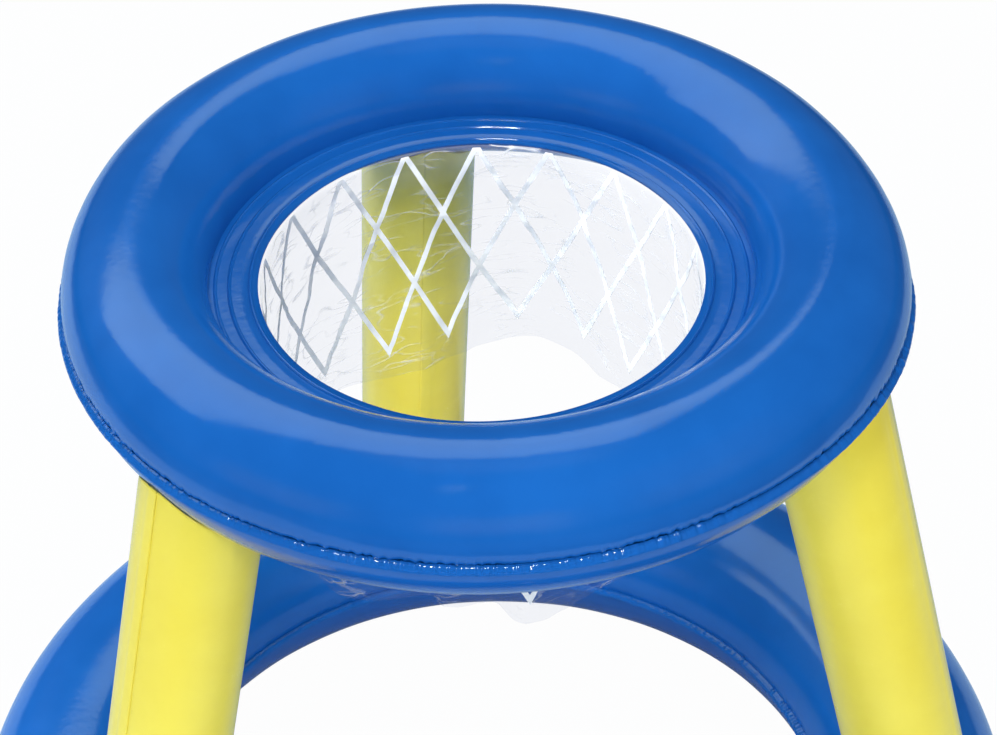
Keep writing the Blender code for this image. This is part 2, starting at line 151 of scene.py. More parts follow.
def floor_white():
    """Pale floor: blue paint for the light that it throws back, near white for the camera."""
    finish = Finish(bpy.data.materials.new("floor_white"))
    place = finish.place()
    across = finish.part(place, 0)
    front = finish.part(place, 1) - TABLE_FRONT
    slant = front - TABLE_SLANT * (across - TABLE_SLANT_START)
    side = TABLE_HALF_WIDTH - abs(across)
    inside = side.maths("MINIMUM", side, front.maths("MINIMUM", front, slant))
    on_table = finish.ramp(inside, -TABLE_EDGE, TABLE_EDGE)
    dark = (ROOM_GLOW, ROOM_GLOW, ROOM_GLOW, 1.0)
    paint = finish.node(
        "ShaderNodeBsdfPrincipled",
        None,
        {
            "Base Color": finish.blend(on_table, dark, FLOOR_PAINT),
            "Roughness": 1.0,
            "Specular IOR Level": 0.0,
        },
    )
    white = finish.node("ShaderNodeEmission", None, {"Color": (1.0, 1.0, 1.0, 1.0)})
    seen, through, mirrored = (
        finish.node("ShaderNodeLightPath", out=f"Is {ray} Ray")
        for ray in ("Camera", "Transmission", "Glossy")
    )
    shown = FLOOR_WHITE * seen.maths("MAXIMUM", seen, through) + FLOOR_MIRRORED * mirrored * on_table
    return finish.show(finish.node("ShaderNodeMixShader", None, {0: shown, 1: paint, 2: white}))


world = bpy.data.worlds.new("studio")
bpy.context.scene.world = world
room = Finish(world)
seen = room.node("ShaderNodeLightPath", out="Is Camera Ray")
room.show(room.node("ShaderNodeBackground", None, {"Color": ROOM_GLOW + (1 - ROOM_GLOW) * seen}))

bm = bmesh.new()
bmesh.ops.create_grid(bm, x_segments=1, y_segments=1, size=FLOOR_SIZE / 2)
bmesh.ops.translate(bm, verts=bm.verts, vec=(0, 0, -FLOOR_DROP))
floor_mesh = bpy.data.meshes.new("floor")
bm.to_mesh(floor_mesh)
bm.free()
floor_mesh.materials.append(floor_white())
floor = bpy.data.objects.new("floor", floor_mesh)
bpy.context.scene.collection.objects.link(floor)

LAMP_AIM = Vector((0, 0, 0.45))


def soft_lamp(name, place, size, power, roll=0, mirrored=False, tint=(1, 1, 1), pieces=()):
    """A lamp that faces the rim from a turn and rise in degrees and a distance, rolled by an angle.

    A mirrored lamp only shows in the vinyl, and any other only lights it. Where pieces are given, the
    lamp is for those alone.
    """
    turn, rise, distance = place
    lamp = bpy.data.lights.new(name, "AREA")
    lamp.shape = "RECTANGLE"
    lamp.size, lamp.size_y = size
    lamp.color = tint
    lamp.energy = power
    hung = bpy.data.objects.new(name, lamp)
    toward = Matrix.Rotation(math.radians(turn), 3, "Z") @ Vector(
        (math.cos(math.radians(rise)), 0, math.sin(math.radians(rise)))
    )
    hung.location = LAMP_AIM + distance * toward
    aimed = (-toward).to_track_quat("-Z", "Y").to_matrix().to_4x4()
    hung.rotation_euler = (aimed @ Matrix.Rotation(math.radians(roll), 4, "Z")).to_euler()
    hung.visible_glossy = mirrored
    hung.visible_diffuse = not mirrored
    hung.visible_camera = False
    bpy.context.scene.collection.objects.link(hung)
    if pieces:
        lit = bpy.data.collections.new(f"{name}_pieces")
        for piece in pieces:
            lit.objects.link(piece)
        hung.light_linking.receiver_collection = lit


BEHIND = (119.5, 54.6, 2.2)  # turn, rise and distance of the softboxes
BEHIND_ROLL = 59
BEHIND_TINT = (0.80, 1.0, 0.88)
BEHIND_SIZE = (1.4, 3.0)
IN_FRONT = (-112, 53, 2.4)
LOW_RISE = 8
LOW_DISTANCE = 2.6
LOW_SIZE = (1.4, 0.8)

for name, size, power in (
    ("softbox_core", (1.1, 2.7), 18),
    ("softbox_middle", BEHIND_SIZE, 23),
    ("softbox_rim", (1.7, 3.3), 30),
):
    soft_lamp(name, BEHIND, size, power, roll=BEHIND_ROLL, mirrored=True, tint=BEHIND_TINT)
soft_lamp("softbox_fill", BEHIND, BEHIND_SIZE, 34, roll=BEHIND_ROLL)
soft_lamp("front_lamp", IN_FRONT, (0.3, 0.3), 11)
soft_lamp("top_fill", (0, 89, 2.4), (1.2, 1.2), 33)
soft_lamp("back_fill", (135, 24, 2.4), (1.6, 1.6), 31)
soft_lamp("side_fill", (-45, 24, 2.4), (1.6, 1.6), 14)
for name, turn, power in (("low_left", -150, 21), ("low_front", -98, 24), ("low_right", -50, 11)):
    soft_lamp(name, (turn, LOW_RISE, LOW_DISTANCE), LOW_SIZE, power)

# The camera's place, turn and lens were fitted to the outlines of the rings and legs.
camera = bpy.data.cameras.new("camera")
camera.lens = 114.17
camera.sensor_width = 36.0
stand = bpy.data.objects.new("camera", camera)
stand.location = (-0.23409, -1.25364, 1.46215)
stand.rotation_euler = (0.872546, 0.0149, -0.203182)
bpy.context.scene.collection.objects.link(stand)
bpy.context.scene.camera = stand
bpy.context.scene.view_settings.view_transform = "Standard"


# Rim ring. Two blue vinyl sheets, welded round the outside in a narrow fin that puckers when the
# ring is blown up, and round the hole in a wide flat flange. A valve is set into the lower sheet.


class Tube(NamedTuple):
    """An inflated ring. It draws in by its pinch at the outer weld, which lies below its middle."""

    middle: float
    half_width: float
    half_height: float
    height: float
    pinch: float
    weld_drop: float


class Waves(NamedTuple):
    """The puckers along a weld. Their layer picks the noise that they follow."""

    depth: float
    patch: float
    layer: float


class Corner(NamedTuple):
    """A corner of a ring's section. The welds' distances are below zero in their fins."""

    radius: float
    height: float
    outer_weld: float
    inner_weld: float
    out: float
    up: float


SHEET = 0.0004
RIM = Tube(
    middle=0.1774, half_width=0.0379, half_height=0.0425, height=0.4541, pinch=0.0008, weld_drop=0.0018
)
RIM_WAVES = Waves(depth=0.0010, patch=0.0021, layer=2.5)
RIM_SWELL = 0.0047  # the tube stands out this much further on one side,
RIM_SWELL_TURN = math.radians(-22)
RIM_SWELL_FOCUS = 8  # in a bulge that is narrower for a higher number,
RIM_SWELL_DROP = 0.030  # and that starts this far below the rim's middle
RIM_SWELL_RISE = 0.022
HOLE_RADIUS = 0.1149
FLANGE_ROWS = (0.008, 0.016)  # from the tube
RIM_VALVE_TURN = math.radians(150)
RIM_VALVE_PLACE = (0.17702, 0.412235)  # radius and height of the flat spot under the rim
WELD_GAP = 0.00015  # half of what is left between two sheets at a weld
INNER_PINCH = 0.0007
PINCH_REACH = 0.0009  # a weld draws its tube in over this distance,
PINCH_SPREAD = 1.3  # and over this many times its pinch
SEAM_REACH = 0.0062  # puckers end this far from a weld
FIN_SHARES = (0.33, 0.66, 1.0)  # corners across a fin
FIN_DROOP = 0.9  # share of its width by which a fin's edge hangs
FIN_CURL = 0.35  # and by which it draws back
STRETCH_PATCH = 0.030  # length of a stretch with deeper or shallower puckers
FINE_WAVE = 0.22  # share of shorter waves in the puckers,
FINE_PATCH = 0.45  # and their length as a share
WANDER = 0.6  # share of its drop by which a weld wanders up and down
WANDER_PATCH = 0.09
WANDER_REACH = 0.012  # how far from the weld its sheet follows
UNEVEN_DENT = 0.00022  # shallow dents all over a tube
UNEVEN_PATCH = 0.05
UNEVEN_REACH = 0.02
WELD_STEP = 0.00128  # distance from a weld to the first row of points
WELD_ROWS = 8
RIM_ROWS = 16
RING_COLUMNS = 24  # before they are divided
SHARP_TURN = math.radians(40)


def spot_at(turn, radius, height):
    """A place round the upright axis."""
    return Vector((radius * math.cos(turn), radius * math.sin(turn), height))


def drawn_in(pinch, from_weld):
    """How far a tube is drawn in at a distance from a weld."""
    return pinch * math.exp(-from_weld / (PINCH_REACH + PINCH_SPREAD * pinch))


def tube_section(tube, side, fin, turns):
    """Outer face of an upper (side 1) or lower (side -1) sheet, with a fin at its welds or none."""
    lift = WELD_GAP + SHEET
    first = math.asin((lift - side * tube.weld_drop) / tube.half_height)
    last = math.pi - math.asin(lift / tube.half_height)
    far = tube.half_height * (last - first)
    corners = []
    for share in reversed(FIN_SHARES) if fin else ():
        reach = tube.middle + tube.half_width - tube.pinch + (fin + tube.pinch) * share
        corners.append(Corner(reach, tube.height + side * lift, -share * fin, far, 0, side))
    for turn in turns(first, last):
        from_outer = tube.half_height * (turn - first)
        from_inner = far - from_outer
        pinch = drawn_in(tube.pinch, from_outer) - drawn_in(INNER_PINCH, from_inner)
        facing = Vector((math.cos(turn) / tube.half_width, math.sin(turn) / tube.half_height))
        facing.normalize()
        corners.append(
            Corner(
                tube.middle + tube.half_width * math.cos(turn) - pinch,
                tube.height + side * tube.half_height * math.sin(turn),
                from_outer,
                from_inner,
                facing.x,
                side * facing.y,
            )
        )
    for share in FIN_SHARES if fin else ():
        reach = tube.middle - tube.half_width + INNER_PINCH - (fin + INNER_PINCH) * share
        corners.append(Corner(reach, tube.height + side * lift, far, -share * fin, 0, side))
    return corners


def spun(bm, line, angle, steps):
    """Joins a line of points and turns it round the upright axis."""
    edges = [bm.edges.new(ends) for ends in zip(line, line[1:])]
    bmesh.ops.spin(
        bm,
        geom=line + edges,
        cent=(0, 0, 0),
        axis=(0, 0, 1),
        angle=angle,
        steps=steps,
        use_merge=angle >= 2 * math.pi,
    )


def turned(corners, cuts, seam_cuts=0):
    """A sheet turned once round the middle from its section, with more columns near its welds."""
    bm = bmesh.new()
    marks = {word: bm.verts.layers.float.new(word) for word in Corner._fields}
    line = []
    for corner in corners:
        vert = bm.verts.new((corner.radius, 0, corner.height))
        for word, mark in marks.items():
            vert[mark] = getattr(corner, word)
        line.append(vert)
    spun(bm, line, 2 * math.pi, RING_COLUMNS)
    radius, height = marks["radius"], marks["height"]

    def hoops(reach):
        """Edges that run round the ring within that distance of a weld."""
        for edge in bm.edges:
            one, other = edge.verts
            level = abs(one[height] - other[height]) < 1e-7 and abs(one[radius] - other[radius]) < 1e-7
            if level and min(one[marks["outer_weld"]], one[marks["inner_weld"]]) < reach:
                yield edge

    for reach, times in ((math.inf, cuts), (SEAM_REACH, seam_cuts)):
        if times:
            bmesh.ops.subdivide_edges(bm, edges=list(hoops(reach)), cuts=times, use_grid_fill=True)
    for vert in bm.verts:
        vert.co.xy = vert.co.xy.normalized() * vert[radius]
    return bm


def face_out(bm, core):
    """Makes the faces look away from the core, the nearest spot of the air or space inside them."""
    bmesh.ops.recalc_face_normals(bm, faces=bm.faces)
    outward = 0
    for face in bm.faces:
        centre = face.calc_center_median()
        outward += face.normal.dot(centre - core(centre)) * face.calc_area()
    if outward < 0:
        bmesh.ops.reverse_faces(bm, faces=bm.faces)


def finished(name, bm, finish, node, wall, grow=-1):
    """The finished piece: smooth but for its sharp edges, with its wall's thickness."""
    for mark in list(bm.verts.layers.float.values()):
        bm.verts.layers.float.remove(mark)
    mesh = bpy.data.meshes.new(name)
    bm.to_mesh(mesh)
    bm.free()
    mesh.shade_smooth()
    mesh.set_sharp_from_angle(angle=SHARP_TURN)
    mesh.materials.append(finish)
    piece = bpy.data.objects.new(name, mesh)
    bpy.context.scene.collection.objects.link(piece)
    thickness = piece.modifiers.new("wall", "SOLIDIFY")
    thickness.thickness = wall
    thickness.offset = grow
    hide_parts(node)
    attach(piece, "hoop")
    return piece


def smooth(value):
    """Smooth step from 0 at 0 to 1 at 1."""
    value = min(1, max(0, value))
    return value * value * (3 - 2 * value)


def around(turn, radius, patch, layer):
    """Noise from -1 to 1 that closes on itself round a ring, in patches of that length."""
    reach = radius / patch
    return noise.noise((reach * math.cos(turn), reach * math.sin(turn), layer))


def weld_wave(turn, tube, waves):
    """Short waves along a weld, deeper in some stretches than in others."""
    strength = max(0.25, 0.75 + 1.1 * around(turn, tube.middle, STRETCH_PATCH, waves.layer))
    wave = around(turn, tube.middle, waves.patch, waves.layer + 3)
    wave += FINE_WAVE * around(turn, tube.middle, waves.patch * FINE_PATCH, waves.layer + 7)
    return waves.depth * strength * wave


def weld_wander(turn, tube, waves):
    """How far a weld wanders up and down, over longer stretches."""
    return WANDER * tube.weld_drop * around(turn, tube.middle, WANDER_PATCH, waves.layer + 23)


def pucker(bm, word, tube, side, fin, waves):
    """The waves of one weld, in its fin if it has one and in the tube that it draws in."""
    weld_mark, out_mark, up_mark = (bm.verts.layers.float[mark] for mark in (word, "out", "up"))
    for vert in bm.verts:
        weld = vert[weld_mark]
        turn = math.atan2(vert.co.y, vert.co.x)
        out = spot_at(turn, 1, 0)
        shift = weld_wave(turn, tube, waves) if weld < SEAM_REACH else 0
        if weld < 0:
            reach = -weld / fin
            vert.co.z += shift * (0.7 + 0.5 * reach) - FIN_DROOP * fin * reach * reach
            vert.co -= out * (abs(shift) * 0.5 + FIN_CURL * fin * reach) * reach
            continue
        uneven = UNEVEN_DENT * (0.6 + around(turn, tube.middle, UNEVEN_PATCH, waves.layer + 17))
        dent = uneven * min(1, weld / UNEVEN_REACH)
        vert.co.z += weld_wander(turn, tube, waves) * math.exp(-weld / WANDER_REACH)
        if weld < SEAM_REACH:
            fade = smooth((SEAM_REACH - weld) / SEAM_REACH)
            vert.co.z += 0.7 * shift * fade**4
            dent += (0.45 * waves.depth + 0.8 * side * shift) * fade
        vert.co -= spot_at(turn, vert[out_mark], vert[up_mark]) * dent


def beside_weld(tube, first):
    """Places over a tube from one of its welds on, each a little further from the last."""
    return [first + WELD_STEP * k**1.5 / tube.half_height for k in range(WELD_ROWS + 1)]


def rim_turns(first, last):
    """Places over the rim's tube, closest together beside the outer weld."""
    tight = beside_weld(RIM, first)
    return tight + [tight[-1] + (last - tight[-1]) * k / RIM_ROWS for k in range(1, RIM_ROWS + 1)]


def swell(bm):
    """Lets the tube stand out on one side, from a little below its middle upwards."""
    for vert in bm.verts:
        turn = math.atan2(vert.co.y, vert.co.x) - RIM_SWELL_TURN
        reach = smooth((vert.co.xy.length - RIM.middle) / RIM.half_width)
        reach *= smooth((vert.co.z - RIM.height + RIM_SWELL_DROP) / RIM_SWELL_RISE)
        reach *= max(0, math.cos(turn)) ** RIM_SWELL_FOCUS
        vert.co += Vector((vert.co.x, vert.co.y, 0)).normalized() * (RIM_SWELL * reach)


def ring_core(tube, spot):
    """The middle of a ring's tube beside a spot."""
    middle = Vector((spot.x, spot.y, 0)).normalized() * tube.middle
    middle.z = tube.height
    return middle


def vinyl(name, deep, light, roughness, relief):
    """Glossy soft vinyl sheet: slight clouds in its colour, and a skin that ripples a little."""
    finish = Finish(bpy.data.materials.new(name))
    place = finish.place()
    tone = finish.clouds(place, 9.0)
    patches = finish.clouds(place, 46.0)
    skin = finish.clouds(place, 240.0, 3.0)
    grain = finish.clouds(place, 1500.0)
    share = finish.ramp(tone * 0.7 + patches * 0.3, 0.3, 0.7)
    height = patches * 0.5 + skin * 0.38 + grain * 0.12
    shader = finish.node(
        "ShaderNodeBsdfPrincipled",
        None,
        {
            "Base Color": finish.blend(share, (*deep, 1.0), (*light, 1.0)),
            "Roughness": roughness + 0.04 * patches + 0.04 * grain,
            "Normal": finish.bump(height, relief),
        },
    )
    return finish.show(shader)


BLUES = ((0.0060, 0.104, 0.425), (0.0088, 0.126, 0.490))
blue_vinyl = vinyl("blue_vinyl", *BLUES, roughness=0.07, relief=0.00020)

STEM_HOLE = 0.0048
HOLE_SIDES = 24
PRESS_REACH = 0.006  # a sheet further from the flat spot than this is another sheet
PRESS_DEPTH = 0.0001


def valve_stand(place, out, along):
    """Where a valve sits: Z out of the sheet, X towards its strap."""
    stand = Matrix((along, out.cross(along), out)).transposed().to_4x4()
    stand.translation = place
    return stand


def press_and_punch(bm, stand, flat, edge):
    """Presses a sheet flat round a valve and cuts the round hole for its stem."""
    unstand = stand.inverted()
    for vert in bm.verts:
        spot = unstand @ vert.co
        if abs(spot.z) < PRESS_REACH and spot.xy.length < edge:
            spot.z += (-PRESS_DEPTH - spot.z) * smooth((edge - spot.xy.length) / (edge - flat))
            vert.co = stand @ spot
    inside = [face for face in bm.faces if (unstand @ face.calc_center_median()).length < edge]
    for side in range(HOLE_SIDES):
        turn = side * 2 * math.pi / HOLE_SIDES
        toward = stand.to_3x3() @ spot_at(turn, 1, 0)
        brink = stand.translation + toward * STEM_HOLE
        corners = dict.fromkeys(part for face in inside for part in (*face.edges, *face.verts))
        cut = bmesh.ops.bisect_plane(
            bm, geom=[*inside, *corners], dist=1e-7, plane_co=brink, plane_no=toward
        )
        inside = [
            part
            for part in cut["geom"]
            if isinstance(part, bmesh.types.BMFace)
            and (part.calc_center_median() - brink).dot(toward) < 0
        ]
    bmesh.ops.delete(bm, geom=inside, context="FACES")


def rim_sheet(word, side):
    section = tube_section(RIM, side, 0, rim_turns)
    crease = section[-1]
    for reach in (*FLANGE_ROWS, crease.radius - HOLE_RADIUS):
        section.append(Corner(crease.radius - reach, crease.height, crease.outer_weld, -reach, 0, side))
    bm = turned(section, cuts=29, seam_cuts=3)
    pucker(bm, "outer_weld", RIM, side, 0, RIM_WAVES)
    swell(bm)
    face_out(bm, lambda spot: ring_core(RIM, spot))
    if side < 0:
        down = Vector((0, 0, -1))
        along = spot_at(RIM_VALVE_TURN, 1, 0).cross(down)
        stand = valve_stand(spot_at(RIM_VALVE_TURN, *RIM_VALVE_PLACE), down, along)
        press_and_punch(bm, stand, flat=0.008, edge=0.016)
    return finished(f"rim_{word}_skin", bm, blue_vinyl, f"rim_{word}_sheet", SHEET)


rim_sheet("upper", 1)
rim_lower_skin = rim_sheet("lower", -1)


# Rim fin and weld lines. Outside the tube both sheets are welded into one fin, which stands out and
# hangs. Three lines are pressed into the flange. Both are smoother than the sheets, so that a lamp in
# front, which is for them alone, glints in their waves.

RIM_FIN = 0.0044
FIN_ROOT = 0.0008  # the fin starts this far inside the tube
FIN_STEP = 0.0004
FIN_LEAN = 24  # degrees below level at the root
FIN_BENDS = ((24, 0, 0.0008), (32, 0.0020, 0.0020))  # degrees, start and length of each bend
FIN_SWAY = 0.0004
FIN_SWAY_PATCH = 0.028
FIN_CRUMPLE = 0.00040
FIN_CRUMPLE_PATCH = 0.0014
WELD_LINES = ((0.0034, 0.0007), (0.0106, 0.0009), (0.0213, 0.0008))  # from the tube, and height
WELD_LINE_WIDTH = 0.0022
WELD_LINE_SINK = 0.00006

weld_vinyl = vinyl("weld_vinyl", *BLUES, roughness=0.05, relief=0.00006)


def rim_fin():
    section = []
    radius = RIM.middle + RIM.half_width - RIM.pinch - FIN_ROOT
    height = RIM.height - RIM.weld_drop
    for k in range(round((RIM_FIN + FIN_ROOT) / FIN_STEP) + 1):
        reach = k * FIN_STEP - FIN_ROOT
        bends = (bend * smooth((reach - start) / length) for bend, start, length in FIN_BENDS)
        lean = math.radians(FIN_LEAN + sum(bends))
        section.append(Corner(radius, height, -reach, 0, math.sin(lean), math.cos(lean)))
        radius += FIN_STEP * math.cos(lean)
        height -= FIN_STEP * math.sin(lean)
    bm = turned(section, cuts=119)
    weld_mark, out_mark, up_mark = (bm.verts.layers.float[mark] for mark in ("outer_weld", "out", "up"))
    for vert in bm.verts:
        free = max(0, -vert[weld_mark]) / RIM_FIN
        turn = math.atan2(vert.co.y, vert.co.x)
        sway = around(turn, RIM.middle, FIN_SWAY_PATCH, RIM_WAVES.layer + 31)
        crumple = around(turn, RIM.middle, FIN_CRUMPLE_PATCH, RIM_WAVES.layer + 52)
        shift = weld_wave(turn, RIM, RIM_WAVES) * (0.9 - 0.75 * free**2)
        shift += FIN_SWAY * free * sway
        shift += FIN_CRUMPLE * (1 - free) * crumple
        vert.co += spot_at(turn, vert[out_mark], vert[up_mark]) * shift
        vert.co.z += weld_wander(turn, RIM, RIM_WAVES)
    swell(bm)
    face_out(bm, lambda spot: ring_core(RIM, spot))
    both_sheets = 2 * (SHEET + WELD_GAP)
    return finished("rim_fin", bm, weld_vinyl, "rim_upper_sheet", both_sheets, 0)


def weld_bead(number, from_tube, rise):
    """One of the lines pressed into the flange, as a low ridge."""
    section = []
    for k in range(-4, 5):
        share = k / 4
        radius = RIM.middle - RIM.half_width + INNER_PINCH - from_tube - share * WELD_LINE_WIDTH / 2
        top = rise * (1 - share * share) ** 2
        height = RIM.height + WELD_GAP + SHEET - WELD_LINE_SINK + top
        section.append(Corner(radius, height, 1, 0, 0, 1))
    bm = turned(section, cuts=29)
    face_out(bm, lambda spot: Vector((spot.x, spot.y, 0)))
    return finished(f"rim_weld_bead_{number}", bm, weld_vinyl, "rim_upper_sheet", SHEET)


glinting = [rim_fin()]
for number, line in enumerate(WELD_LINES, 1):
    glinting.append(weld_bead(number, *line))
GLINT_TINT = (0.85, 1.0, 1.0)
soft_lamp("glint_lamp", IN_FRONT, (0.5, 0.5), 60, mirrored=True, tint=GLINT_TINT, pieces=glinting)


# Net skirt. Clear vinyl film, welded in a flat band under the flange and hanging free below it,
# printed with white net lines. It still shows the folds that it was packed in.

FILM = 0.0003
SKIRT_RADIUS = 0.1137
SKIRT_TOP = 0.45325
SKIRT_LENGTH = 0.140
SKIRT_HEM = 0.008
SKIRT_BEND = 0.0010  # radius at which the film turns down from the flange
SKIRT_ROWS = 60
FOLD_DEPTH = 0.020
FOLDS = (  # turn in degrees, share of the full depth
    (0, 0.0), (20, -0.3), (39, -0.4), (59, 0.375), (70, 0.45), (84, -0.175), (100, -0.7),
    (115, -0.4), (130, 0.0), (150, -0.05), (165, -0.2), (180, -0.4), (200, -0.1), (220, 0.1),
    (240, -1.0), (246, -0.62), (257, -0.87), (262, -0.82), (266, -0.12), (272, 0.0),
    (277, -0.15), (282, -0.25), (296, -0.46), (320, 0.0), (340, 0.25),
)
RIPPLE = 0.0012
RIPPLE_PATCH = 0.016
CRUMPLE = 0.0013
CRINKLE = 0.0006
SLIP = 0.0022  # how far the film is pushed sideways
NET_TURN = 20.0  # degrees between the net's corners
NET_DROP = 0.082  # length of a whole diamond's half
NET_TOP = 0.012  # the print starts this far down, in the net's own steps
NET_RUN = 3  # steps that a line runs
NET_LINE = 0.041  # half a line's width
FILM_WHITE = (0.93, 0.95, 0.96, 1.0)
FILM_TINT = (0.952, 0.958, 0.976, 1.0)


def fold_share(degrees):
    """Smooth closed curve through the folds."""
    degrees %= 360
    knots = [(FOLDS[-1][0] - 360, FOLDS[-1][1]), *FOLDS]
    knots += [(turn + 360, share) for turn, share in FOLDS[:2]]
    k = max(k for k in range(1, len(knots) - 2) if knots[k][0] <= degrees)
    (t0, s0), (t1, s1), (t2, s2), (t3, s3) = knots[k - 1 : k + 3]
    span = t2 - t1
    part = (degrees - t1) / span
    lean_in = (s2 - s0) / (t2 - t0) * span
    lean_out = (s3 - s1) / (t3 - t1) * span
    return (
        s1 * (2 * part**3 - 3 * part**2 + 1)
        + s2 * (3 * part**2 - 2 * part**3)
        + lean_in * (part**3 - 2 * part**2 + part)
        + lean_out * (part**3 - part**2)
    )


def hang(bm):
    """Folds of the film, with ripples and small crumples from its packing."""
    height_mark = bm.verts.layers.float["height"]
    for vert in bm.verts:
        drop = max(0, SKIRT_TOP - vert[height_mark]) / SKIRT_LENGTH
        turn = math.atan2(vert.co.y, vert.co.x)
        fold = FOLD_DEPTH * fold_share(math.degrees(turn)) * drop**1.05
        ripple = RIPPLE * around(turn, SKIRT_RADIUS, RIPPLE_PATCH, 4 + drop * 1.2) * min(1, drop * 3)
        loose = min(1, drop * 14)
        crumple = CRUMPLE * noise.noise(vert.co * 60) + CRINKLE * noise.noise(vert.co * 150)
        slip = SLIP * noise.noise(vert.co * 42 + Vector((3, 5, 7))) * loose
        along = Vector((-math.sin(turn), math.cos(turn), 0))
        vert.co.xy = vert.co.xy.normalized() * (vert.co.xy.length + fold + ripple + crumple * loose)
        vert.co += along * slip


def map_net(bm):
    """The net's own map on the film: one step is a diamond's half across and down."""
    height_mark = bm.verts.layers.float["height"]
    net = bm.loops.layers.uv.new("net")
    for face in bm.faces:
        middle = face.calc_center_median()
        middle_turn = math.atan2(middle.y, middle.x) % (2 * math.pi)
        for loop in face.loops:
            turn = math.atan2(loop.vert.co.y, loop.vert.co.x) % (2 * math.pi)
            turn += 2 * math.pi * round((middle_turn - turn) / (2 * math.pi))
            drop = (SKIRT_TOP - loop.vert[height_mark]) / NET_DROP
            loop[net].uv = (math.degrees(turn) / NET_TURN, drop)


def printed_net(across, down):
    """1 on the net's lines and 0 in its diamonds, from a place on the net's map."""
    down_right = across + down
    down_left = across - down
    right_line = down_right.maths("ROUND", down_right)
    left_line = down_left.maths("ROUND", down_left)
    on_right = (abs(down_right - right_line) < NET_LINE) * (down_left > right_line - NET_RUN - NET_LINE)
    on_left = (abs(down_left - left_line) < NET_LINE) * (down_right < left_line + NET_RUN + NET_LINE)
    return on_right.maths("MAXIMUM", on_right, on_left) * (down > NET_TOP)


def creases_with_painted_highlights(finish, place, top):
    """Thin broken creases: level ones, mostly near the top, and slanting ones. The mask gives the film
    its relief and also paints white highlight along the creases.
    """
    level = finish.node("ShaderNodeMapping", None, {"Vector": place, "Scale": (34.0, 34.0, 120.0)})
    slant = finish.node(
        "ShaderNodeMapping",
        None,
        {"Vector": place, "Rotation": (0.5, 0.7, 0.0), "Scale": (24.0, 24.0, 80.0)},
    )
    level_fold = finish.ramp(abs(finish.clouds(level, 1.0, 1.0) - 0.5), 0.03, 0.0)
    slant_fold = finish.ramp(abs(finish.clouds(slant, 1.0, 1.0) - 0.5), 0.022, 0.0)
    broken = finish.ramp(finish.clouds(place, 45.0), 0.40, 0.62)
    return broken * (level_fold * (0.35 + 0.65 * top) + slant_fold * 0.6)


def net_film():
    """Clear film with a faint milky veil, creases with painted white highlight along them, and white
    printed net lines.
    """
    finish = Finish(bpy.data.materials.new("net_film"))
    net = finish.place("UV")
    down = finish.part(net, 1)
    printed = printed_net(finish.part(net, 0), down)
    top = 1 - finish.ramp(down, 0.10, 0.36)
    place = finish.place()
    patches = finish.clouds(place, 26.0)
    skin = finish.clouds(place, 210.0, 3.0)
    crease_relief_and_highlights = creases_with_painted_highlights(finish, place, top)
    edge_on = finish.node("ShaderNodeLayerWeight", None, {"Blend": 0.35}, 1)
    # The creases add painted highlight: they turn the film white along their lines, on top of the relief
    # that they give.
    veil = 0.003 + 0.016 * patches + 0.015 * edge_on + 0.05 * top + 0.34 * crease_relief_and_highlights
    relief = finish.bump(patches * 0.5 + skin * 0.2 + crease_relief_and_highlights * 0.3, 0.0006)
    front = finish.node(
        "ShaderNodeBsdfPrincipled",
        None,
        {"Base Color": FILM_WHITE, "Roughness": 0.10 + 0.3 * printed, "Normal": relief},
    )
    lit_through = finish.node("ShaderNodeBsdfTranslucent", None, {"Color": FILM_WHITE})
    white = finish.node("ShaderNodeMixShader", None, {0: 0.3, 1: front, 2: lit_through})
    clear = finish.node("ShaderNodeBsdfTransparent", None, {"Color": FILM_TINT})
    share = printed.maths("MAXIMUM", 0.97 * printed, veil)
    return finish.show(finish.node("ShaderNodeMixShader", None, {0: share, 1: clear, 2: white}))


line = [(SKIRT_RADIUS + SKIRT_HEM * share, SKIRT_TOP) for share in (1, 0.75, 0.5, 0.28)]
for turn in (0.0, 0.5, 1.0, math.pi / 2):
    in_bend = SKIRT_BEND * (1 - math.sin(turn))
    below = SKIRT_BEND * (1 - math.cos(turn))
    line.append((SKIRT_RADIUS + in_bend, SKIRT_TOP - below))
for row in range(1, SKIRT_ROWS + 1):
    free_length = SKIRT_LENGTH - SKIRT_BEND
    line.append((SKIRT_RADIUS, SKIRT_TOP - SKIRT_BEND - free_length * row / SKIRT_ROWS))
bm = turned([Corner(radius, height, 0, 0, 0, 0) for radius, height in line], cuts=24)
face_out(bm, lambda spot: Vector((0, 0, spot.z)))
hang(bm)
map_net(bm)
net_film_skirt = finished("net_film_skirt", bm, net_film(), "net_skirt", FILM, 1)

# A lamp of its own, high on the left, whitens the film and its print as seen through the hole.
soft_lamp("film_lamp", (-145, 56, 2.4), (0.8, 0.8), 100, pieces=[net_film_skirt])


# Base ring. Two more blue vinyl sheets, welded in narrow fins round the outside and the inside.
# It lies on the ground, or on the water, and spreads a little flat where it rests.

BASE = Tube(
    middle=0.2501, half_width=0.0549, half_height=0.0531, height=0.052304, pinch=0.0007, weld_drop=0
)
BASE_FIN = 0.0022
BASE_WAVES = {"outer_weld": Waves(0.0007, 0.0030, 31.5), "inner_weld": Waves(0.0007, 0.0030, 57.5)}
BASE_ROWS = 26
BASE_VALVE_TURN = math.radians(270)
BASE_VALVE_PLACE = (0.249565, 0.104608)


def base_turns(first, last):
    """Places over the base's tube, closest together beside both welds."""
    tight = beside_weld(BASE, first)
    wide = math.pi - 2 * tight[-1]
    middle = [tight[-1] + wide * k / BASE_ROWS for k in range(1, BASE_ROWS)]
    return tight + middle + [math.pi - turn for turn in reversed(tight)]


